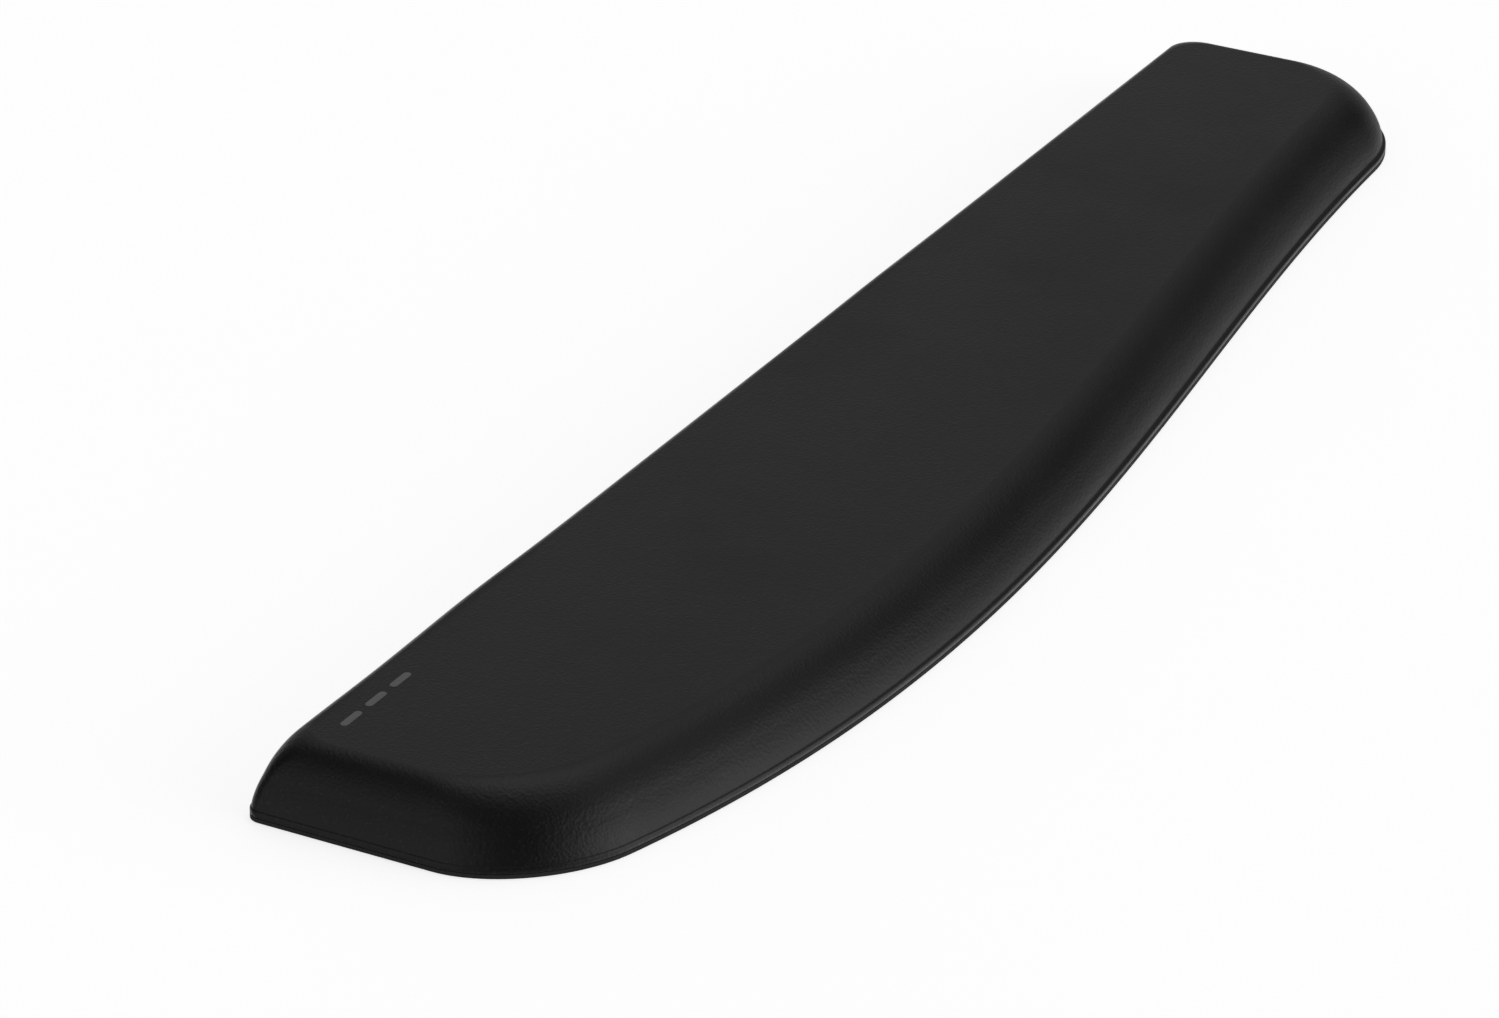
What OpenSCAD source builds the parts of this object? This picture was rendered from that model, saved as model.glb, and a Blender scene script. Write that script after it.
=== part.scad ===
// Keyboard wrist rest: a low padded cushion with one straight edge for the
// keyboard and one long curved edge for the hands. A moulded leatherette cover
// is welded along an outward lip to a rubber grip sheet. Inside lie a stiff
// board, a foam core and a soft gel pad sealed between two films.
//
// Units are millimetres. X runs along the length, +Y points to the keyboard and
// +Z is up. The origin is the middle of the footprint, on the desk surface.

/* [Outline] */
// Length of the rest, end to end
length = 445; // [380:1:500]
// Depth of the curved edge below the straight edge, at the left end
depth_left_end = 67.9; // [60:0.1:80]
// The same depth a quarter of the length in from the left end
depth_left_quarter = 93.2; // [80:0.1:100]
// The same depth at the middle of the length
depth_middle = 90.4; // [80:0.1:100]
// The same depth a quarter of the length in from the right end
depth_right_quarter = 77; // [70:0.1:90]
// The same depth at the right end
depth_right_end = 69; // [60:0.1:80]
// Left front corner: how far it reaches along the length
left_corner_x = 26; // [20:0.5:40]
// Left front corner: how far it reaches across the depth
left_corner_y = 22.5; // [20:0.5:35]
// Right front corner: how far it reaches along the length
right_corner_x = 27.8; // [20:0.1:40]
// Right front corner: how far it reaches across the depth
right_corner_y = 21.2; // [20:0.1:35]
// Radius of the two corners beside the keyboard
back_corner_r = 3.6; // [3:0.1:10]

/* [Cushion] */
// Height of the flat top above the desk
height = 17; // [14:0.5:25]
// How far the flat top stays in from the ends
top_in_ends = 10; // [8:0.5:20]
// How far the flat top stays in from the curved edge
top_in_front = 14; // [8:0.5:20]
// How far the flat top stays in from the straight edge
top_in_back = 7.5; // [6:0.5:15]
// Front corners of the flat top, along the length
top_corner_x = 24.2; // [15:0.1:35]
// Front corners of the flat top, across the depth
top_corner_y = 19.5; // [15:0.1:30]
// Radius of the flat top's two corners beside the keyboard
top_corner_r = 8.5; // [4:0.5:15]
// Roundness of the side wall: 1 is a straight slope, 2 is an ellipse
wall_power = 1.76; // [1.4:0.02:2.6]

/* [Cover] */
// Thickness of the leatherette
skin_t = 1; // [0.6:0.1:1.5]
// How far the welded lip stands out past the side wall
lip_out = 1.3; // [0.8:0.1:2.5]
// Thickness of the welded lip
lip_t = 1.6; // [1.4:0.1:2.5]

/* [Base] */
// Thickness of the rubber grip sheet
grip_t = 1; // [0.8:0.1:2]
// How far the sheet's resting face stands below its edge
rest_drop = 0.3; // [0.1:0.1:0.5]
// How far the resting face stops inside the sheet's edge
rest_in = 4; // [3:0.5:8]
// Thickness of each film of adhesive
glue_t = 0.1; // [0.05:0.05:0.3]
// How far the adhesive under the cover's lip stops short of the edge
glue_in = 1; // [0.5:0.1:1.5]
// Thickness of the stiff board
board_t = 1.5; // [1:0.1:2.5]
// Gap between the board's edge and the cover
board_gap = 0.4; // [0.2:0.1:1]

/* [Filling] */
// Thickness of the gel
gel_t = 4; // [2:0.5:6]
// Thickness of each film that seals the gel
film_t = 0.2; // [0.1:0.05:0.4]
// How far the gel stays in from the edge of the foam's flat top
gel_in = 5; // [3:0.5:8]

/* [Printed mark] */
// Number of plain bars in the mark
mark_bars = 3; // [1:1:5]
// Length of one bar
mark_bar_l = 7; // [4:0.5:10]
// Width of one bar
mark_bar_w = 1.8; // [1:0.1:3]
// Gap between two bars
mark_gap = 2.7; // [1:0.1:6]
// Distance from the left end to the middle of the mark
mark_from_end = 31; // [30:1:60]
// Distance from the straight edge to the middle of the mark
mark_from_back = 13.5; // [12:0.5:30]
// Thickness of the ink
mark_t = 0.05; // [0.02:0.01:0.1]

/* [Hidden] */

// Places along the length, from -1 at the left end to 1 at the right end,
// and the depth of the curved edge at each
STATIONS = [-1, -0.5, 0, 0.5, 1];
DEPTHS = [
    depth_left_end, depth_left_quarter, depth_middle, depth_right_quarter,
    depth_right_end
];

// Number of steps along each stretch of an outline
BACK_STEPS = 8;
END_STEPS = 4;
FRONT_STEPS = 44;
CORNER_STEPS = 10;
BACK_CORNER_STEPS = 6;
// Number of steps up the cover's outside and up the faces inside it
WALL_STEPS = 12;
INSIDE_STEPS = 7;
// Number of steps round the lip's upper edge
LIP_STEPS = 4;

// Levels, from the desk upwards
LIP_Z = grip_t + glue_t;
LIP_TOP_Z = LIP_Z + lip_t;
BOARD_TOP_Z = LIP_Z + board_t;
FOAM_Z = BOARD_TOP_Z + glue_t;
FOAM_TOP_Z = height - skin_t;
GEL_FILM_Z = FOAM_TOP_Z - gel_t - 2 * film_t;

// The cover's inner face stands this far in from the lip's edge, and the flat
// top inside it is this much smaller, because the wall slopes there
INNER_FOOT = lip_out + skin_t;
INNER_TOP = skin_t / 2;
// Radius of the lip's upper edge
LIP_ROUND = min(0.85 * lip_out, 0.5 * lip_t);

function product(v, i = 0) = i < len(v) ? v[i] * product(v, i + 1) : 1;

// Share of station i in the curved edge at u, a quartic that passes through
// all five stations
function share(i, u) = product([
    for (j = [0:4]) if (j != i) (u - STATIONS[j]) / (STATIONS[i] - STATIONS[j])
]);
function edge_depth(x) =
    DEPTHS * [for (i = [0:4]) share(i, 2 * x / length)];

// Middle of the footprint across its depth, measured from the straight edge
HALF_DEPTH = max([
    for (x = [-length / 2:length / FRONT_STEPS:length / 2]) edge_depth(x)
]) / 2;

// Closed outline, counter-clockwise from the right end of the straight edge.
// inset: how far it stays in from the ends, the curved edge and the straight
// edge. r: back corner radius. left, right: reach of each front corner in X
// and Y. Every outline has the same number of points, so two can be joined.
function outline(inset, r, left, right) =
    let (
        half = length / 2 - inset[0],
        back = HALF_DEPTH - inset[2]
    )
    concat(
        [for (i = [0:BACK_STEPS - 1])
            [(half - r) * (1 - 2 * i / BACK_STEPS), back]],
        [for (i = [0:BACK_CORNER_STEPS - 1])
            let (a = 90 * i / BACK_CORNER_STEPS)
            [r - half - r * sin(a), back - r + r * cos(a)]],
        [for (i = [0:END_STEPS - 1])
            [-half, between(back - r, front(-half, inset) + left[1], i / END_STEPS)]],
        [for (i = [0:CORNER_STEPS - 1])
            front_corner(90 * i / CORNER_STEPS, -half, left, inset)],
        [for (i = [0:FRONT_STEPS - 1])
            let (x = between(left[0] - half, half - right[0], i / FRONT_STEPS))
            [x, front(x, inset)]],
        [for (i = [0:CORNER_STEPS - 1])
            front_corner(90 * (1 - i / CORNER_STEPS), half, right, inset)],
        [for (i = [0:END_STEPS - 1])
            [half, between(front(half, inset) + right[1], back - r, i / END_STEPS)]],
        [for (i = [0:BACK_CORNER_STEPS - 1])
            let (a = 90 * (1 - i / BACK_CORNER_STEPS))
            [half - r + r * sin(a), back - r + r * cos(a)]]
    );

function between(a, b, t) = a + (b - a) * t;
function front(x, inset) = HALF_DEPTH - edge_depth(x) + inset[1];
function front_corner(a, end_x, reach, inset) =
    let (x = end_x - sign(end_x) * reach[0] * (1 - cos(a)))
    [x, front(x, inset) + reach[1] * (1 - sin(a))];

// Outline of the resting face, straight between corners just inside the edge
function resting_face() =
    let (
        end = length / 2 - rest_in,
        back = HALF_DEPTH - rest_in,
        left = -length / 2 + left_corner_x,
        right = length / 2 - right_corner_x
    )
    [
        [end, back],
        [-end, back],
        [-end, front(-end, [0, 0, 0]) + left_corner_y],
        for (x = [left, -length / 4, 0, right]) [x, front(x, [0, rest_in, 0])],
        [end, front(end, [0, 0, 0]) + right_corner_y]
    ];

// The footprint, drawn in by the same amount all round
function foot(inward) = outline(
    [inward, inward, inward],
    max(back_corner_r - inward, 0.4),
    [left_corner_x - inward, left_corner_y - inward],
    [right_corner_x - inward, right_corner_y - inward]
);

// The flat top, drawn in by the same amount all round
function flat_top(inward) = outline(
    [top_in_ends + inward, top_in_front + inward, top_in_back + inward],
    top_corner_r - inward,
    [top_corner_x - inward, top_corner_y - inward],
    [top_corner_x - inward, top_corner_y - inward]
);

function level(points, z) = [for (p = points) [p[0], p[1], z]];

// Rounded side wall, as rings from a foot outline up to a flat-top outline
function wall(low, high, z0, z1, steps) = [
    for (k = [0:steps])
        let (
            a = 90 * k / steps,
            w = 1 - pow(max(cos(a), 0), 2 / wall_power),
            z = between(z0, z1, pow(sin(a), 2 / wall_power))
        )
        [for (i = [0:len(low) - 1])
            concat(between(low[i], high[i], w), z)]
];

// Wall and top that the cover's inner face and the foam core share
function inner_wall() = wall(
    foot(INNER_FOOT), flat_top(INNER_TOP), FOAM_Z, FOAM_TOP_Z, INSIDE_STEPS
);

// Upper edge of the lip, rounded over, then in to the foot of the wall
function lip_rings() = concat(
    [level(foot(0), LIP_Z)],
    [for (k = [0:LIP_STEPS])
        let (a = 90 * k / LIP_STEPS)
        level(
            foot(LIP_ROUND * (1 - cos(a))),
            LIP_TOP_Z - LIP_ROUND * (1 - sin(a))
        )]
);

function reversed(list) = [for (i = [len(list) - 1:-1:0]) list[i]];

// Closed solid through a stack of rings. The rings run counter-clockwise seen
// from above, and the first and last are flat ends, filled from a hub point.
module loft(rings) {
    n = len(rings[0]);
    last = (len(rings) - 1) * n;
    hub = len(rings) * n;
    polyhedron(
        points = concat(
            [for (ring = rings) each ring],
            [[0, 0, rings[0][0][2]], [0, 0, rings[len(rings) - 1][0][2]]]
        ),
        faces = [for (i = [0:n - 1])
            let (j = (i + 1) % n)
            each concat(
                [[hub, i, j], [hub + 1, last + j, last + i]],
                [for (a = [0:n:last - n])
                    each [[a + i, a + n + i, a + j], [a + j, a + n + i, a + n + j]]]
            )],
        convexity = 6
    );
}

module slab(points, z, thickness) {
    translate([0, 0, z])
        linear_extrude(height = thickness)
            polygon(points);
}

// Rubber sheet that stops the rest sliding on the desk. It stands on a flat
// resting face with eight corners, and its edge clears the desk.
module grip_sheet() {
    color([0.07, 0.07, 0.07]) {
        slab(foot(0), rest_drop, grip_t - rest_drop);
        linear_extrude(rest_drop)
            polygon(resting_face());
    }
}

// Adhesive between the grip sheet and everything above it. It stops short of
// the edge, so that none shows there.
module base_glue_film() {
    color([0.85, 0.8, 0.62])
        slab(foot(glue_in), grip_t, glue_t);
}

// Stiff plastic board that keeps the rest flat
module base_board() {
    color([0.2, 0.2, 0.21])
        slab(foot(INNER_FOOT + board_gap), LIP_Z, board_t);
}

// Adhesive between the board and the foam
module foam_glue_film() {
    color([0.85, 0.8, 0.62])
        slab(foot(INNER_FOOT + board_gap), BOARD_TOP_Z, glue_t);
}

// Foam that fills the cover, with a shallow pocket for the gel in its top
module foam_core() {
    pocket = flat_top(INNER_TOP + gel_in);
    color([0.62, 0.64, 0.66])
        loft(concat(
            inner_wall(),
            [level(pocket, FOAM_TOP_Z), level(pocket, GEL_FILM_Z)]
        ));
}

module gel_layer(z, thickness) {
    slab(flat_top(INNER_TOP + gel_in), z, thickness);
}

// Film under the gel
module gel_lower_film() {
    color([0.8, 0.87, 0.9])
        gel_layer(GEL_FILM_Z, film_t);
}

// Soft gel under the palms
module gel_pad() {
    color([0.3, 0.55, 0.78])
        gel_layer(GEL_FILM_Z + film_t, gel_t);
}

// Film over the gel
module gel_upper_film() {
    color([0.8, 0.87, 0.9])
        gel_layer(GEL_FILM_Z + film_t + gel_t, film_t);
}

// Moulded leatherette cover, open below, with the welded lip round its foot
module cover_skin() {
    color([0.13, 0.13, 0.135])
        loft(concat(
            reversed(inner_wall()),
            [level(foot(INNER_FOOT), LIP_Z)],
            lip_rings(),
            wall(foot(lip_out), flat_top(0), LIP_TOP_Z, height, WALL_STEPS)
        ));
}

// Plain bars printed near the corner beside the keyboard
module printed_mark() {
    pitch = mark_bar_l + mark_gap;
    straight = mark_bar_l - mark_bar_w;
    color([0.4, 0.4, 0.4])
        for (i = [0:mark_bars - 1])
            translate([
                mark_from_end - length / 2 + pitch * (i - (mark_bars - 1) / 2),
                HALF_DEPTH - mark_from_back,
                height
            ])
                linear_extrude(height = mark_t)
                    union() {
                        square([straight, mark_bar_w], center = true);
                        for (side = [-1, 1])
                            translate([side * straight / 2, 0])
                                circle(d = mark_bar_w, $fn = 32);
                    }
}

grip_sheet();
base_glue_film();
base_board();
foam_glue_film();
foam_core();
gel_lower_film();
gel_pad();
gel_upper_film();
cover_skin();
printed_mark();
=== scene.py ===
"""Looks of a black leatherette keyboard wrist rest, built round its CAD frame."""
import math

import bpy
import numpy as np
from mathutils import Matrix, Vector, noise
from mathutils.bvhtree import BVHTree
from mathutils.geometry import delaunay_2d_cdt


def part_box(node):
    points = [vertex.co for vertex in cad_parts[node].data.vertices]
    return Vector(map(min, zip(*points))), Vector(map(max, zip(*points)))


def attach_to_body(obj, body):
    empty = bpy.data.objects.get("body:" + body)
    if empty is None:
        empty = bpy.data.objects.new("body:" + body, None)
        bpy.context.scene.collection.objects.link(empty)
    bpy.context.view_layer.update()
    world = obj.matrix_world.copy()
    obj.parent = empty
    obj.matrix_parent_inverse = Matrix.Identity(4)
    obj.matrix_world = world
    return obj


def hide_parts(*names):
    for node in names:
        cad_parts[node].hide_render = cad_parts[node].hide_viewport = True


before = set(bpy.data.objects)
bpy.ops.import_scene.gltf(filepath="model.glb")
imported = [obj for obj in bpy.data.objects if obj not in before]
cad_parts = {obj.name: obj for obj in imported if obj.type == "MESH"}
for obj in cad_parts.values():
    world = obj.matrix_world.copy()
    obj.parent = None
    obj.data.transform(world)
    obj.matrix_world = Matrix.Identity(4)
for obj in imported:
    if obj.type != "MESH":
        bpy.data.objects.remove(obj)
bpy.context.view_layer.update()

MM = 0.001

# ---------------------------------------------------------------- plan shape
# The curved front edge: its depth below the straight back edge, in mm, at five
# places from the left end to the right end. The CAD model has the same ones.
STATIONS = (-1, -0.5, 0, 0.5, 1)
FRONT_DEPTHS = (67.9, 93.2, 90.4, 77.0, 69.0)
# Reach of the front corners along the length and across the depth
LEFT_CORNER = (26.0, 22.5)
RIGHT_CORNER = (27.8, 21.2)
BACK_CORNER_R = 3.6
SMALLEST_R = 0.4
# The flat top stays in from the ends, the front edge and the back edge
TOP_IN = (10.0, 14.0, 7.5)
TOP_CORNER = (24.2, 19.5)
TOP_CORNER_R = 8.5
# The side wall is a superellipse of this power
WALL_POWER = 1.76
# The cover: skin, and the welded lip round its foot
SKIN_T = 1.0
LIP_OUT = 1.3
LIP_T = 1.6
# How far the gel stays in from the inside of the flat top
GEL_IN = 5.0

skin_low, skin_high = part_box("cover_skin")
grip_low, grip_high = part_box("grip_sheet")
HALF_LENGTH = skin_high.x / MM
HALF_DEPTH = skin_high.y / MM
TOP_Z = skin_high.z / MM
LIP_Z = skin_low.z / MM

# The flat top's mesh lines run to a spine that stops this far from each end
SPINE_END = 42.0
# Mesh steps along each stretch of an outline
SPINE_STEPS = 190
BACK_STUB_STEPS = 14
BACK_CORNER_STEPS = 14
END_STEPS = 20
FRONT_CORNER_STEPS = 26
FRONT_STUB_STEPS = 10


def edge_depth(x):
    """Depth of the front edge at x, a quartic through the five stations."""
    u = np.asarray(x, float) / HALF_LENGTH
    total = 0
    for i, depth in enumerate(FRONT_DEPTHS):
        term = depth
        for j, other in enumerate(STATIONS):
            if j != i:
                term = term * (u - other) / (STATIONS[i] - other)
        total = total + term
    return total


def outline(inset, back_r, left, right):
    """Closed plan outline in mm, counter-clockwise from the right of the back
    edge. Every outline has the same points at the same places, so that rings
    join, and its front and back points pair up along the spine."""
    half = HALF_LENGTH - inset[0]
    back = HALF_DEPTH - inset[2]
    spine = HALF_LENGTH - SPINE_END

    def front(x):
        return HALF_DEPTH - edge_depth(x) + inset[1]

    def run(a, b, count):
        return np.linspace(a, b, count, endpoint=False)

    def corner(angles, side, reach):
        x = side * (half - reach[0] * (1 - np.cos(angles)))
        return np.c_[x, front(x) + reach[1] * (1 - np.sin(angles))]

    def back_corner(angles, side):
        x = side * (half - back_r + back_r * np.sin(angles))
        return np.c_[x, back - back_r + back_r * np.cos(angles)]

    quarter = math.pi / 2
    parts = []
    xs = run(spine, -spine, SPINE_STEPS)
    parts.append(np.c_[xs, np.full_like(xs, back)])
    xs = run(-spine, -(half - back_r), BACK_STUB_STEPS)
    parts.append(np.c_[xs, np.full_like(xs, back)])
    parts.append(back_corner(run(0, quarter, BACK_CORNER_STEPS), -1))
    ys = run(back - back_r, front(-half) + left[1], END_STEPS)
    parts.append(np.c_[np.full_like(ys, -half), ys])
    parts.append(corner(run(0, quarter, FRONT_CORNER_STEPS), -1, left))
    xs = run(left[0] - half, -spine, FRONT_STUB_STEPS)
    parts.append(np.c_[xs, front(xs)])
    xs = run(-spine, spine, SPINE_STEPS)
    parts.append(np.c_[xs, front(xs)])
    xs = run(spine, half - right[0], FRONT_STUB_STEPS)
    parts.append(np.c_[xs, front(xs)])
    parts.append(corner(run(quarter, 0, FRONT_CORNER_STEPS), 1, right))
    ys = run(front(half) + right[1], back - back_r, END_STEPS)
    parts.append(np.c_[np.full_like(ys, half), ys])
    parts.append(back_corner(run(quarter, 0, BACK_CORNER_STEPS), 1))
    xs = run(half - back_r, spine, BACK_STUB_STEPS)
    parts.append(np.c_[xs, np.full_like(xs, back)])
    return np.vstack(parts)


def foot(inward):
    """The footprint, drawn in by the same amount all round."""
    return outline(
        (inward,) * 3,
        max(BACK_CORNER_R - inward, SMALLEST_R),
        [c - inward for c in LEFT_CORNER],
        [c - inward for c in RIGHT_CORNER],
    )


def flat_top(inward):
    """The flat top, drawn in by the same amount all round."""
    corner = [c - inward for c in TOP_CORNER]
    inset = [i + inward for i in TOP_IN]
    return outline(inset, TOP_CORNER_R - inward, corner, corner)


def spine_ring(ring):
    """For each point of a ring, the point of the spine that it runs to."""
    end = HALF_LENGTH - SPINE_END
    x = np.clip(ring[:, 0], -end, end)
    return np.c_[x, HALF_DEPTH - edge_depth(x) / 2]


# ------------------------------------------------------------------- meshes
def smooth_mesh(name, points, faces, material):
    """A smooth-shaded object from points in mm."""
    mesh = bpy.data.meshes.new(name)
    mesh.from_pydata((np.asarray(points) * MM).tolist(), [], faces)
    mesh.polygons.foreach_set("use_smooth", [True] * len(mesh.polygons))
    mesh.materials.append(material)
    mesh.validate()
    mesh.update()
    piece = bpy.data.objects.new(name, mesh)
    bpy.context.scene.collection.objects.link(piece)
    return piece


def at(ring, z):
    """A plan outline as a ring at height z."""
    return np.c_[ring, np.full(len(ring), z)]


def ring_faces(first, count, rings):
    """Quads between each ring and the next, where each has count points."""
    faces = []
    for k in range(rings - 1):
        a = first + k * count
        for i in range(count):
            j = (i + 1) % count
            faces.append((a + i, a + j, a + count + j, a + count + i))
    return faces


def cap(ring_first, spine_first, count, top):
    """Closes a ring on to the spine: quads along it and a fan at each end."""
    faces = []
    n = SPINE_STEPS
    front_first = (n + BACK_STUB_STEPS + BACK_CORNER_STEPS + END_STEPS
                   + FRONT_CORNER_STEPS + FRONT_STUB_STEPS)

    def station(i):
        """Spine vertex for ring point i, counted from the right end."""
        if i <= n:
            return i
        if i < front_first:
            return n
        if i <= front_first + n:
            return front_first + n - i
        return 0

    for i in range(count):
        j = (i + 1) % count
        a, b = spine_first + station(i), spine_first + station(j)
        face = [ring_first + i, ring_first + j, b]
        if a != b:
            face.append(a)
        faces.append(tuple(face if top else reversed(face)))
    return faces


def shell(name, rings, material, low_cap=None, high_cap=None):
    """Closed piece through a stack of rings. Each cap lists the rings that
    carry on from the first or last ring: share of the way to the spine, and
    height."""
    count = len(rings[0])
    stack = [np.asarray(r, float) for r in rings]
    spines = []
    for heights, index in ((low_cap, 0), (high_cap, -1)):
        edge = stack[index]
        target = spine_ring(edge)
        more = []
        for share, z in heights[:-1]:
            xy = edge[:, :2] + (target - edge[:, :2]) * share
            more.append(np.c_[xy, z if np.ndim(z) else np.full(count, z)])
        if index == 0:
            stack = more[::-1] + stack
        else:
            stack = stack + more
        xs = np.linspace(HALF_LENGTH - SPINE_END, SPINE_END - HALF_LENGTH,
                         SPINE_STEPS + 1)
        z = heights[-1][1]
        spines.append(np.c_[xs, HALF_DEPTH - edge_depth(xs) / 2,
                            np.full(len(xs), z)])
    ring_total = len(stack) * count
    faces = ring_faces(0, count, len(stack))
    faces += cap(0, ring_total, count, top=False)
    faces += cap(ring_total - count, ring_total + SPINE_STEPS + 1, count,
                 top=True)
    return smooth_mesh(name, np.vstack(stack + spines), faces, material)


def wall(low, high, z0, z1, steps):
    """Rounded side wall as rings, from a foot outline up to a flat top's."""
    rings = []
    for k in range(steps + 1):
        rise = math.sin(math.pi / 2 * k / steps) ** (2 / WALL_POWER)
        inward = 1 - max(1 - rise ** WALL_POWER, 0) ** (1 / WALL_POWER)
        rings.append(at(low + (high - low) * inward, z0 + (z1 - z0) * rise))
    return rings


# ---------------------------------------------------------------- materials
def new_material(name):
    material = bpy.data.materials.new(name)
    material.use_nodes = True
    tree = material.node_tree
    return material, tree, tree.nodes["Principled BSDF"]


def add(tree, kind, **settings):
    """A new node. A setting named after an input sets that input."""
    node = tree.nodes.new(kind)
    for key, value in settings.items():
        if hasattr(node, key) and key not in node.inputs:
            setattr(node, key, value)
        else:
            node.inputs[key].default_value = value
    return node


def place(tree, stretch=(1, 1, 1)):
    """Object coordinates in metres, stretched: a texture's scale is then about
    its cells per metre."""
    where = tree.nodes.new("ShaderNodeTexCoord")
    mapping = tree.nodes.new("ShaderNodeMapping")
    mapping.inputs["Scale"].default_value = stretch
    tree.links.new(where.outputs["Object"], mapping.inputs["Vector"])
    return mapping.outputs["Vector"]


def noise_node(tree, vector, scale, detail=2.0, roughness=0.5):
    node = add(tree, "ShaderNodeTexNoise", Scale=scale, Detail=detail,
               Roughness=roughness)
    tree.links.new(vector, node.inputs["Vector"])
    return node.outputs["Fac"]


def cells_node(tree, vector, scale, feature="F1", randomness=1.0):
    node = add(tree, "ShaderNodeTexVoronoi", Scale=scale,
               Randomness=randomness)
    node.feature = feature
    tree.links.new(vector, node.inputs["Vector"])
    return node.outputs["Distance"]


def spread(tree, value, low, high, out_low, out_high):
    """A value between low and high, spread over another range."""
    node = tree.nodes.new("ShaderNodeMapRange")
    for name, number in (("From Min", low), ("From Max", high),
                         ("To Min", out_low), ("To Max", out_high)):
        node.inputs[name].default_value = number
    tree.links.new(value, node.inputs["Value"])
    return node.outputs["Result"]


def ramp(tree, value, dark, light):
    """A colour between two, by a value from 0 to 1."""
    node = tree.nodes.new("ShaderNodeMix")
    node.data_type = "RGBA"
    node.inputs[6].default_value = (*dark, 1)
    node.inputs[7].default_value = (*light, 1)
    tree.links.new(value, node.inputs[0])
    return node.outputs[2]


def bump(tree, shader, height, distance, strength=1.0, under=None):
    node = add(tree, "ShaderNodeBump", Strength=strength, Distance=distance)
    tree.links.new(height, node.inputs["Height"])
    if under:
        tree.links.new(under, node.inputs["Normal"])
    tree.links.new(node.outputs["Normal"], shader.inputs["Normal"])
    return node.outputs["Normal"]


# Three sizes of leatherette grain, each with its scale, depth in m and strength
PEBBLES = (620, 0.00012, 0.2)
GRAIN = (1500, 0.00010, 0.7)
PORES = (3200, 0.00003, 0.5)


def leatherette():
    """Matt black skin: fine pebble grain, cloudy patches, a few dull specks."""
    material, tree, shader = new_material("leatherette")
    where = place(tree)
    cells = cells_node(tree, where, GRAIN[0], "SMOOTH_F1")
    pebbles = cells_node(tree, where, PEBBLES[0], "SMOOTH_F1", 0.9)
    fine = noise_node(tree, where, PORES[0], 3)
    patches = noise_node(tree, where, 26, 5, 0.6)
    specks = spread(tree, noise_node(tree, where, 1500, 2), 0.6, 0.72, 0, 1)
    tint = ramp(tree, patches, (0.0035, 0.0035, 0.0038),
                (0.0070, 0.0070, 0.0073))
    colour = tree.nodes.new("ShaderNodeMix")
    colour.data_type = "RGBA"
    tree.links.new(specks, colour.inputs[0])
    tree.links.new(tint, colour.inputs[6])
    colour.inputs[7].default_value = (0.016, 0.016, 0.0165, 1)
    tree.links.new(colour.outputs[2], shader.inputs["Base Color"])
    cloud = spread(tree, patches, 0.3, 0.7, 0.32, 0.46)
    tree.links.new(cloud, shader.inputs["Roughness"])
    shader.inputs["Sheen Weight"].default_value = 0.1
    shader.inputs["Sheen Roughness"].default_value = 0.25
    under = bump(tree, shader, pebbles, *PEBBLES[1:])
    grain = bump(tree, shader, cells, *GRAIN[1:], under)
    bump(tree, shader, fine, *PORES[1:], grain)
    return material


def grip_rubber():
    """Matt rubber, mottled, with a fine skin of pores."""
    material, tree, shader = new_material("grip_rubber")
    where = place(tree)
    mottle = noise_node(tree, where, 260, 5)
    colour = ramp(tree, mottle, (0.009, 0.009, 0.009),
                  (0.022, 0.022, 0.022))
    tree.links.new(colour, shader.inputs["Base Color"])
    rough = spread(tree, mottle, 0.3, 0.7, 0.72, 0.9)
    tree.links.new(rough, shader.inputs["Roughness"])
    bump(tree, shader, noise_node(tree, where, 1800, 4), 0.00006, 0.5)
    return material


def foam():
    """Grey open-cell foam."""
    material, tree, shader = new_material("foam")
    where = place(tree)
    cells = cells_node(tree, where, 900, "DISTANCE_TO_EDGE")
    tone = spread(tree, cells, 0.0, 0.35, 0.0, 1.0)
    colour = ramp(tree, tone, (0.42, 0.43, 0.45), (0.19, 0.195, 0.205))
    tree.links.new(colour, shader.inputs["Base Color"])
    shader.inputs["Roughness"].default_value = 0.95
    shader.inputs["Specular IOR Level"].default_value = 0.2
    bump(tree, shader, cells, 0.0004, 0.8)
    return material


def gel():
    """Soft blue gel, see-through at its edges and slightly cloudy."""
    material, tree, shader = new_material("gel")
    where = place(tree)
    cloud = noise_node(tree, where, 60, 4)
    colour = ramp(tree, cloud, (0.05, 0.22, 0.45), (0.10, 0.34, 0.60))
    tree.links.new(colour, shader.inputs["Base Color"])
    shader.inputs["Roughness"].default_value = 0.16
    shader.inputs["Transmission Weight"].default_value = 0.45
    shader.inputs["IOR"].default_value = 1.42
    bump(tree, shader, noise_node(tree, where, 220, 2), 0.0002, 0.3)
    return material


def clear_film():
    """Thin clear film, faintly wrinkled."""
    material, tree, shader = new_material("clear_film")
    where = place(tree)
    wrinkle = noise_node(tree, where, 140, 4)
    colour = ramp(tree, wrinkle, (0.72, 0.80, 0.84), (0.86, 0.91, 0.94))
    tree.links.new(colour, shader.inputs["Base Color"])
    shader.inputs["Roughness"].default_value = 0.14
    shader.inputs["Transmission Weight"].default_value = 0.8
    bump(tree, shader, wrinkle, 0.0003, 0.4)
    return material


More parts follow.
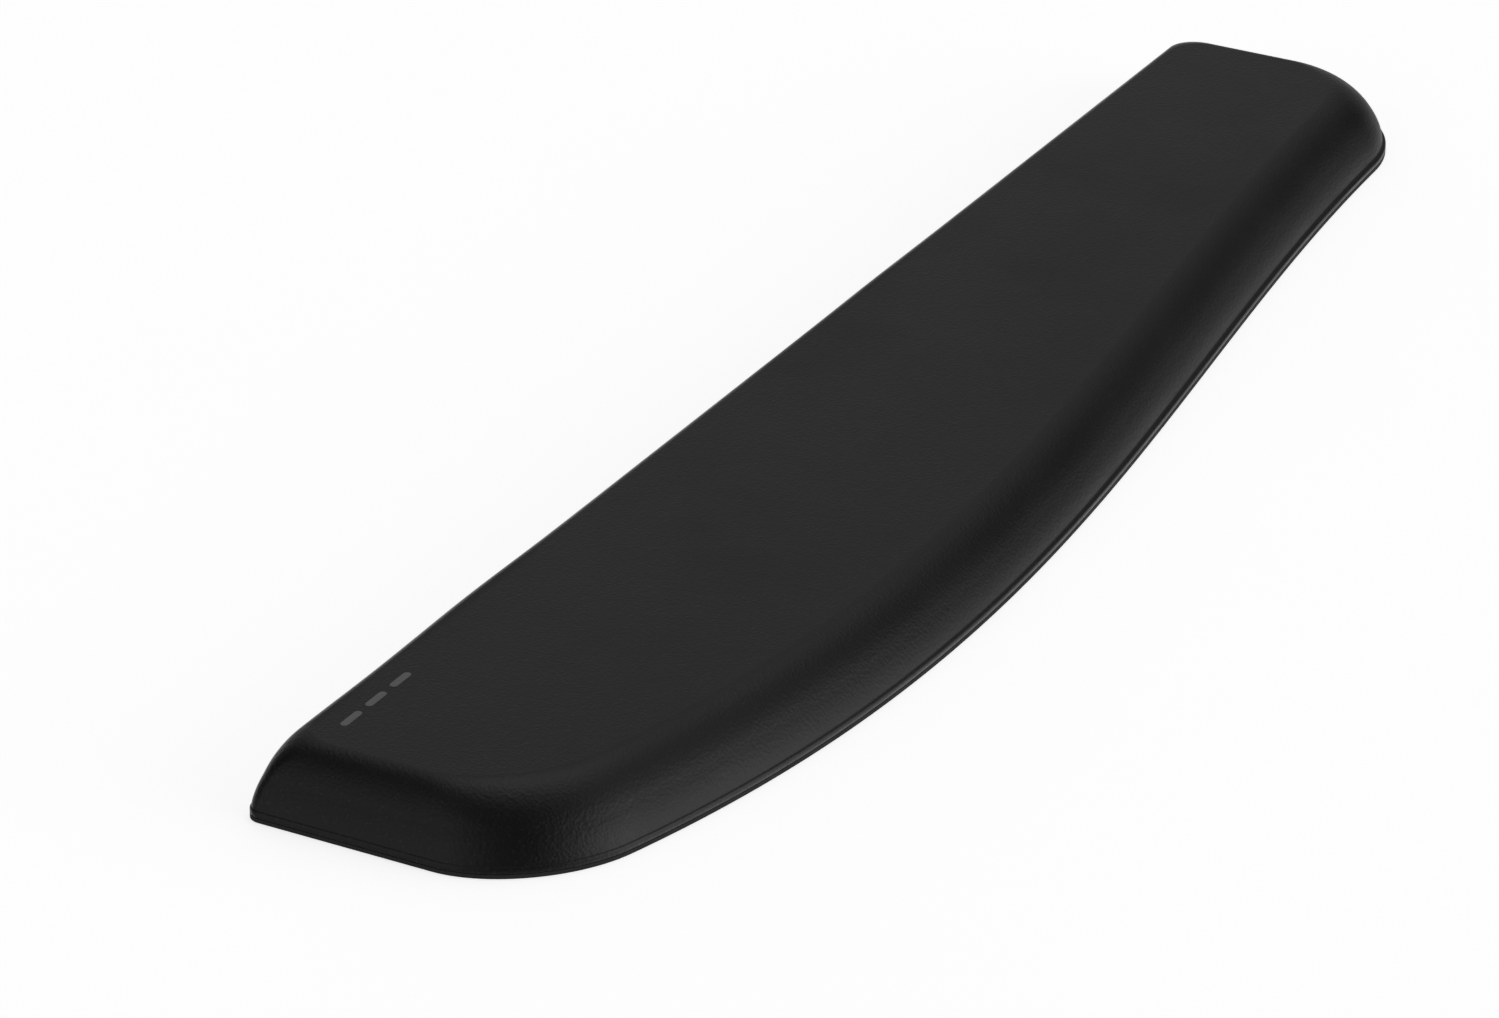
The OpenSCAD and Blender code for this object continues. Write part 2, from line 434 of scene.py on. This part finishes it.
def adhesive():
    """Yellowish hot-melt film with fine bubbles."""
    material, tree, shader = new_material("adhesive")
    where = place(tree)
    bubbles = cells_node(tree, where, 420)
    tone = spread(tree, bubbles, 0.05, 0.6, 0.0, 1.0)
    colour = ramp(tree, tone, (0.50, 0.42, 0.24), (0.62, 0.55, 0.36))
    tree.links.new(colour, shader.inputs["Base Color"])
    shader.inputs["Roughness"].default_value = 0.35
    bump(tree, shader, bubbles, 0.0003, 0.4)
    return material


def board_plastic():
    """Dark moulded board with a fine spark-eroded texture."""
    material, tree, shader = new_material("board_plastic")
    where = place(tree)
    texture = noise_node(tree, where, 1500, 4, 0.6)
    streaks = noise_node(tree, place(tree, (6, 60, 60)), 1, 3)
    colour = ramp(tree, streaks, (0.014, 0.014, 0.015),
                  (0.024, 0.024, 0.025))
    tree.links.new(colour, shader.inputs["Base Color"])
    rough = spread(tree, texture, 0.3, 0.7, 0.55, 0.75)
    tree.links.new(rough, shader.inputs["Roughness"])
    bump(tree, shader, texture, 0.0001, 0.5)
    return material


def grey_ink():
    """Mid-grey printing ink, a little uneven where it sits on the grain."""
    material, tree, shader = new_material("grey_ink")
    where = place(tree)
    cover = noise_node(tree, where, 1600, 3)
    tone = spread(tree, cover, 0.25, 0.75, 0.0, 1.0)
    colour = ramp(tree, tone, (0.20, 0.20, 0.203), (0.26, 0.26, 0.264))
    tree.links.new(colour, shader.inputs["Base Color"])
    shader.inputs["Roughness"].default_value = 0.5
    bump(tree, shader, cells_node(tree, where, 1250, "SMOOTH_F1"), 0.0001,
         0.3)
    return material


MATERIALS = {
    "leatherette": leatherette(),
    "grip_rubber": grip_rubber(),
    "foam": foam(),
    "gel": gel(),
    "clear_film": clear_film(),
    "adhesive": adhesive(),
    "board_plastic": board_plastic(),
    "grey_ink": grey_ink(),
}


# ------------------------------------------------------------------- pieces
def attach(piece, slot, *nodes):
    """The piece stands for those CAD nodes and rides on the one body."""
    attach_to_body(piece, "root")
    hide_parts(*nodes)
    return piece


# The lip's rounded edge, and the fall of its top from the foot of the wall
LIP_ROUND = 0.7
LIP_FALL = 0.1
# The wall's foot flares out over this height, to this far from the lip's edge
# at the left and right ends: only the right has a clear ledge
FLARE_HEIGHT = 6.5
LEDGE = (0.35, 0.85)
# The ledge has its full width from here on, in half lengths from the left end,
# and the lip's rounded edge takes this share of it
LEDGE_RUN = 1.2
LEDGE_ROUNDED = 0.85
# The flare's own curve, and the small bevel along the lip's bottom edge
FLARE_POWER = 1.1
BEVEL = (0.06, 0.08)
# Height that the middle of the top stands above its edge, and its waviness
CROWN = 0.1
WAVE = 0.06
WAVE_SIZE = 45.0
# The top's mesh rings, closer together near its edge by this power
TOP_STEPS = 16
TOP_CLOSENESS = 1.5


def top_heights(edge, z, steps):
    """Shares of the way to the spine and the heights there: a faint crown
    with a slow waviness, as soft filling has under a skin."""
    target = spine_ring(edge)
    heights = []
    for k in range(1, steps + 1):
        share = (k / steps) ** TOP_CLOSENESS
        if k == steps:
            heights.append((1, z + CROWN))
            break
        xy = edge[:, :2] + (target - edge[:, :2]) * share
        rise = CROWN * (1 - math.cos(math.pi * share)) / 2
        wave = np.array([noise.noise(Vector((x / WAVE_SIZE, y / WAVE_SIZE, 0)))
                         for x, y in xy])
        fade = 4 * share * (1 - share)
        heights.append((share, z + rise + WAVE * wave * fade))
    return heights


# Places where the filling swells the back wall: middle along the length,
# reach to each side, and how far the wall stands out. A swell fades over
# SWELL_DEPTH from the back edge, and raises the top by SWELL_RISE of itself.
SWELLS = ((-205.0, 16.0, 0.4), (-142.0, 24.0, 0.9), (45.0, 22.0, 0.3))
SWELL_DEPTH = 16.0
SWELL_RISE = 0.5


def swell_back(ring):
    """Pushes the upper back wall out a little at the swells."""
    x, y, z = ring.T
    rise = np.clip((z - LIP_Z - LIP_T) / (TOP_Z - LIP_Z - LIP_T), 0, 1)
    near = np.clip(1 - (HALF_DEPTH - y) / SWELL_DEPTH, 0, 1)
    for middle, reach, out in SWELLS:
        bulge = out * np.exp(-((x - middle) / reach) ** 2)
        ring[:, 1] += bulge * near * rise * (1 - 0.5 * rise)
        ring[:, 2] += SWELL_RISE * bulge * near * rise ** 2


def ledge(share):
    """Footprint drawn in by a share of the ledge, which widens to the right."""
    left, right = (foot(width * share) for width in LEDGE)
    along = np.clip((left[:, :1] / HALF_LENGTH + 1) / LEDGE_RUN, 0, 1)
    return left + (right - left) * along


def lip_rings():
    """The welded lip, from the bottom edge over the rounded upper edge to the
    foot of the wall."""
    top = LIP_Z + LIP_T - LIP_FALL
    rings = [at(foot(BEVEL[0]), LIP_Z), at(foot(0), LIP_Z + BEVEL[1])]
    for a in np.linspace(0, math.pi / 2, 9):
        rings.append(at(ledge(LEDGE_ROUNDED * (1 - math.cos(a))),
                        top - LIP_ROUND * (1 - math.sin(a))))
    return rings


# Mesh steps up the cover's wall, inside and outside, and up the foam's
INSIDE_STEPS = 8
OUTSIDE_STEPS = 40
FOAM_STEPS = 14


def make_cover():
    """The leatherette cover: a moulded shell, open below."""
    wall_z = LIP_Z + LIP_T
    inner_foot = LIP_OUT + SKIN_T
    inner_top = TOP_Z - SKIN_T
    inside = wall(foot(inner_foot), flat_top(SKIN_T / 2), wall_z, inner_top,
                  INSIDE_STEPS)[::-1]
    outside = wall(foot(LIP_OUT), flat_top(0), wall_z, TOP_Z, OUTSIDE_STEPS)
    flare = ledge(1) - foot(LIP_OUT)
    for ring in outside:
        lift = (ring[0, 2] - wall_z) / FLARE_HEIGHT
        ring[:, :2] += flare * max(1 - lift, 0) ** FLARE_POWER
        swell_back(ring)
    rings = inside + [at(foot(inner_foot), LIP_Z)] + lip_rings() + outside
    cover = shell("leatherette_cover", rings, MATERIALS["leatherette"],
                  [(0.4, inner_top), (1, inner_top)],
                  top_heights(outside[-1], TOP_Z, TOP_STEPS))
    return attach(cover, "leatherette", "cover_skin")


# Studs under the grip sheet, in mm: a field of them inside a raised rim
STUD_R = 1.4
STUD_PITCH = 7.0
STUD_RISE = 0.35
STUD_SIDES = 12
STUD_MARGIN = 0.3
RIM_WIDTH = 2.5
# Rings of the rim below, from its outer edge: distance in and height
RIM_RINGS = (
    (0, 0.06), (0.06, 0), (RIM_WIDTH, 0), (RIM_WIDTH + 0.15, 0.05),
    (RIM_WIDTH + 0.3, STUD_RISE),
)
# Rings of a stud: share of its radius and height
STUD_RINGS = ((0.9, 0.08), (0.72, 0))


def inside_outline(points, loop):
    """Which points lie inside a closed plan outline."""
    x, y = points[:, 0], points[:, 1]
    inside = np.zeros(len(points), bool)
    for (ax, ay), (bx, by) in zip(loop, np.roll(loop, -1, 0)):
        if ay != by:
            crosses = (ay > y) != (by > y)
            inside ^= crosses & (x < (bx - ax) * (y - ay) / (by - ay) + ax)
    return inside


def stud_places(loop):
    """Centres of the studs, in staggered rows inside an outline."""
    row_gap = STUD_PITCH * math.sqrt(3) / 2
    rows = int(HALF_DEPTH / row_gap)
    columns = int(HALF_LENGTH / STUD_PITCH)
    places = np.array([(STUD_PITCH * (c + 0.5 * (r % 2)), row_gap * r)
                       for r in range(-rows, rows + 1)
                       for c in range(-columns, columns + 1)])
    return places[inside_outline(places, loop)]


def stud_circle():
    """Directions of a stud's corners."""
    turns = np.linspace(0, 2 * math.pi, STUD_SIDES, endpoint=False)
    return np.c_[np.cos(turns), np.sin(turns)]


def cut_field(field, places):
    """The flat field inside an outline, with a hole for each stud: its corners
    (the outline's first, then each stud's), and its triangles."""
    count = len(field)
    flat = [tuple(p) for p in field]
    edges = [(i, (i + 1) % count) for i in range(count)]
    for middle in places:
        start = len(flat)
        flat += [tuple(middle + STUD_R * c) for c in stud_circle()]
        edges += [(start + i, start + (i + 1) % STUD_SIDES)
                  for i in range(STUD_SIDES)]
    out = delaunay_2d_cdt([Vector(p) for p in flat], edges, [], 0, 1e-5)
    corners = np.array([tuple(v) for v in out[0]])
    triangles = np.array(out[2])
    middles = corners[triangles].mean(1)
    keep = inside_outline(middles, field)
    for middle in places:
        gap = np.hypot(*(middles - middle).T)
        keep &= gap > STUD_R * math.cos(math.pi / STUD_SIDES)
    return corners, triangles[keep]


def add_stud(points, faces, middle, base):
    """Adds a stud's tapered side and flat end, from its circle at base."""
    levels = [base]
    for shrink, z in STUD_RINGS:
        levels.append(len(points))
        points += [(*(middle + STUD_R * shrink * c), z) for c in stud_circle()]
    for low, high in zip(levels, levels[1:]):
        for i in range(STUD_SIDES):
            j = (i + 1) % STUD_SIDES
            faces.append((low + j, low + i, high + i, high + j))
    faces.append(tuple(levels[-1] + i for i in reversed(range(STUD_SIDES))))


def make_grip_sheet():
    """The rubber sheet: flat above, with a rim and rows of studs below."""
    count = len(foot(0))
    rings = [at(foot(0), grip_high.z / MM)]
    rings += [at(foot(inward), z) for inward, z in RIM_RINGS]
    points = [p for ring in rings for p in ring]
    faces = [tuple(reversed(f)) for f in ring_faces(0, count, len(rings))]
    faces.append(tuple(range(count)))
    first = len(points) - count
    places = stud_places(foot(RIM_WIDTH + 2 * (STUD_MARGIN + STUD_R)))
    corners, triangles = cut_field(foot(RIM_RINGS[-1][0]), places)
    points += [(x, y, STUD_RISE) for x, y in corners[count:]]
    faces += [(first + c, first + b, first + a) for a, b, c in triangles]
    for n, middle in enumerate(places):
        add_stud(points, faces, middle, first + count + n * STUD_SIDES)
    sheet = smooth_mesh("grip_sheet_studded", points, faces,
                        MATERIALS["grip_rubber"])
    sheet.data.set_sharp_from_angle(angle=math.radians(40))
    return attach(sheet, "grip_rubber", "grip_sheet")


# Space left between the foam, the gel and what surrounds them, and how rough
# the foam's cut surface is
CLEARANCE = 0.06
FOAM_ROUGH = 0.18


def make_foam():
    """Foam that fills the cover, with a pocket for the gel in its top."""
    low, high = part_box("foam_core")
    gel_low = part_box("gel_lower_film")[0].z / MM
    foot_in = LIP_OUT + SKIN_T + CLEARANCE
    z0, z1 = low.z / MM + CLEARANCE, high.z / MM - CLEARANCE
    side = wall(foot(foot_in), flat_top(SKIN_T / 2 + CLEARANCE), z0, z1,
                FOAM_STEPS)
    for ring in side[1:]:
        inward = spine_ring(ring) - ring[:, :2]
        inward /= np.linalg.norm(inward, axis=1)[:, None]
        depth = [FOAM_ROUGH * abs(noise.noise(Vector(p) / 2.2)) for p in ring]
        ring[:, :2] += inward * np.array(depth)[:, None]
    pocket_in = SKIN_T / 2 + GEL_IN - CLEARANCE
    pocket_z = gel_low - CLEARANCE
    rings = side + [at(flat_top(pocket_in - 0.5), z1),
                    at(flat_top(pocket_in), z1 - 0.4),
                    at(flat_top(pocket_in), pocket_z)]
    foam_piece = shell("foam_core_cut", rings, MATERIALS["foam"],
                       [(0.4, z0), (1, z0)],
                       [(0.3, pocket_z), (0.7, pocket_z), (1, pocket_z)])
    foam_piece.data.set_sharp_from_angle(angle=math.radians(45))
    return attach(foam_piece, "foam", "foam_core")


def make_gel():
    """The gel: a soft slab with rounded, slightly bulging edges."""
    low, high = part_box("gel_pad")
    z0, z1 = low.z / MM, high.z / MM
    edge_in = SKIN_T / 2 + GEL_IN
    radius = (z1 - z0) / 2
    rings = [at(flat_top(edge_in + 0.6 * radius * (1 - math.cos(a))),
                z0 + radius * (1 + math.sin(a)))
             for a in np.linspace(-math.pi / 2, math.pi / 2, 13)]
    gel_piece = shell("gel_pad_poured", rings, MATERIALS["gel"],
                      [(0.2, z0), (0.6, z0), (1, z0)],
                      [(0.2, z1), (0.6, z1), (1, z1)])
    return attach(gel_piece, "gel", "gel_pad")


# The printed mark: its bars and the gap between them, the thickness of its
# ink, half the width of a bar's very tip, and the mesh steps along and across
BARS = 3
BAR_GAP = 2.7
INK_T = 0.03
TIP_HALF = 0.05
INK_STEPS = (28, 8)


def bar_layer(surface, x_low, x_high, y_low, y_high, lift):
    """Points of one round-ended bar, laid on a surface and lifted off it."""
    along, across = INK_STEPS
    radius = (y_high - y_low) / 2
    points = []
    for i in range(along + 1):
        t = (1 - math.cos(math.pi * i / along)) / 2
        x = x_low + (x_high - x_low) * t
        past = max(x_low + radius - x, x - x_high + radius, 0)
        half = math.sqrt(max(radius ** 2 - past ** 2, TIP_HALF ** 2))
        for j in range(across + 1):
            y = (y_low + y_high) / 2 + half * (2 * j / across - 1)
            hit = surface.ray_cast(Vector((x * MM, y * MM, 1)),
                                   Vector((0, 0, -1)))[0]
            points.append((x, y, hit.z / MM + lift))
    return points


def bar_faces(start):
    """Faces of a bar: its lower and upper layer, and the rim round them."""
    along, across = INK_STEPS
    row = across + 1
    size = (along + 1) * row
    faces = []
    for i in range(along):
        for j in range(across):
            a = start + i * row + j
            b, c, d = a + row, a + row + 1, a + 1
            faces.append((d, c, b, a))
            faces.append((a + size, b + size, c + size, d + size))
    rim = ([i * row for i in range(along + 1)]
           + [along * row + j for j in range(1, row)]
           + [i * row + across for i in range(along - 1, -1, -1)]
           + [j for j in range(across - 1, 0, -1)])
    for a, b in zip(rim, rim[1:] + rim[:1]):
        faces.append((start + a, start + b, start + b + size,
                      start + a + size))
    return faces


def make_mark(cover):
    """Plain printed bars that lie on the cover and follow its surface."""
    low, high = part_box("printed_mark")
    bar_length = ((high.x - low.x) / MM - (BARS - 1) * BAR_GAP) / BARS
    surface = BVHTree.FromObject(cover, bpy.context.evaluated_depsgraph_get())
    points, faces = [], []
    for n in range(BARS):
        x_low = low.x / MM + n * (bar_length + BAR_GAP)
        faces += bar_faces(len(points))
        for lift in (0, INK_T):
            points += bar_layer(surface, x_low, x_low + bar_length,
                                low.y / MM, high.y / MM, lift)
    mark = smooth_mesh("printed_bars", points, faces, MATERIALS["grey_ink"])
    mark.data.set_sharp_from_angle(angle=math.radians(60))
    return attach(mark, "grey_ink", "printed_mark")


cover = make_cover()
make_mark(cover)
make_grip_sheet()
make_foam()
make_gel()

# The flat hidden layers keep their CAD shape
for node_name, slot_name in (
    ("base_glue_film", "adhesive"), ("base_board", "board_plastic"),
    ("foam_glue_film", "adhesive"), ("gel_lower_film", "clear_film"),
    ("gel_upper_film", "clear_film"),
):
    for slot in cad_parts[node_name].material_slots:
        slot.material = MATERIALS[slot_name]


# -------------------------------------------------------------------- stage
CAMERA_AZIMUTH = -61.25
CAMERA_ELEVATION = 26.62
CAMERA_DISTANCE = 1.4444
CAMERA_TARGET = (-0.06482, 0.01479, 0.010)
CAMERA_LENS = 156.16
CAMERA_SENSOR = 36
CAMERA_CLIP = 500


def direction(azimuth, elevation):
    """Unit vector: azimuth 0 points along -Y and 90 along +X, in degrees."""
    az, el = math.radians(azimuth), math.radians(elevation)
    return Vector((math.sin(az) * math.cos(el), -math.cos(az) * math.cos(el),
                   math.sin(el)))


def make_camera():
    data = bpy.data.cameras.new("camera")
    data.sensor_width = CAMERA_SENSOR
    data.sensor_fit = "HORIZONTAL"
    data.lens = CAMERA_LENS
    data.clip_end = CAMERA_CLIP
    camera = bpy.data.objects.new("camera", data)
    bpy.context.scene.collection.objects.link(camera)
    back = direction(CAMERA_AZIMUTH, CAMERA_ELEVATION)
    camera.location = Vector(CAMERA_TARGET) + back * CAMERA_DISTANCE
    camera.rotation_euler = back.to_track_quat("Z", "Y").to_euler()
    bpy.context.scene.camera = camera


# The floor reaches far out and lies a hair below the rest, and glows a little
# so that it stays pale in the dim room
FLOOR_REACH = 60.0
FLOOR_Z = -0.00005
FLOOR_GLOW = 0.75


def make_floor():
    """A white table that the rest lies on. It is left out of reflections."""
    material, tree, shader = new_material("white_table")
    grain = noise_node(tree, place(tree), 6, 2)
    tree.links.new(ramp(tree, grain, (0.80, 0.80, 0.80), (0.83, 0.83, 0.83)),
                   shader.inputs["Base Color"])
    shader.inputs["Roughness"].default_value = 0.9
    shader.inputs["Specular IOR Level"].default_value = 0.0
    shader.inputs["Emission Color"].default_value = (1, 1, 1, 1)
    shader.inputs["Emission Strength"].default_value = FLOOR_GLOW
    mesh = bpy.data.meshes.new("floor")
    signs = ((-1, -1), (1, -1), (1, 1), (-1, 1))
    corners = [(x * FLOOR_REACH, y * FLOOR_REACH, FLOOR_Z) for x, y in signs]
    mesh.from_pydata(corners, [], [(0, 1, 2, 3)])
    mesh.materials.append(material)
    floor = bpy.data.objects.new("floor", mesh)
    bpy.context.scene.collection.objects.link(floor)
    floor.visible_glossy = False


# Soft boxes round the room: azimuth, elevation, sharpness and strength. Those
# below the horizon stand for light that comes back from the table.
SOFT_BOXES = (
    (12, 3, 7.0, 1.4),
    (70, -50, 5.0, 0.9),
    (90, 70, 6.0, 0.8),
    (140, -20, 5.0, 1.0),
    (255, 15, 5.0, 0.35),
    (240, -30, 4.0, 0.2),
    (25, -60, 3.0, 0.25),
)


def make_room():
    """A dark room with broad soft boxes, drawn as smooth patches of light and
    added up."""
    world = bpy.data.worlds.new("studio")
    world.use_nodes = True
    bpy.context.scene.world = world
    tree = world.node_tree
    background = tree.nodes["Background"]
    where = tree.nodes.new("ShaderNodeTexCoord").outputs["Generated"]
    total = None
    for azimuth, elevation, sharpness, strength in SOFT_BOXES:
        dot = add(tree, "ShaderNodeVectorMath", operation="DOT_PRODUCT")
        tree.links.new(where, dot.inputs[0])
        dot.inputs[1].default_value = direction(azimuth, elevation)
        above = add(tree, "ShaderNodeMath", operation="MAXIMUM")
        tree.links.new(dot.outputs["Value"], above.inputs[0])
        above.inputs[1].default_value = 0
        lobe = add(tree, "ShaderNodeMath", operation="POWER")
        tree.links.new(above.outputs[0], lobe.inputs[0])
        lobe.inputs[1].default_value = sharpness
        gain = add(tree, "ShaderNodeMath", operation="MULTIPLY_ADD")
        tree.links.new(lobe.outputs[0], gain.inputs[0])
        gain.inputs[1].default_value = strength
        gain.inputs[2].default_value = 0
        if total:
            tree.links.new(total, gain.inputs[2])
        total = gain.outputs[0]
    tree.links.new(total, background.inputs["Strength"])
    background.inputs["Color"].default_value = (1, 1, 1, 1)


make_camera()
make_floor()
make_room()
bpy.context.scene.view_settings.view_transform = "Standard"
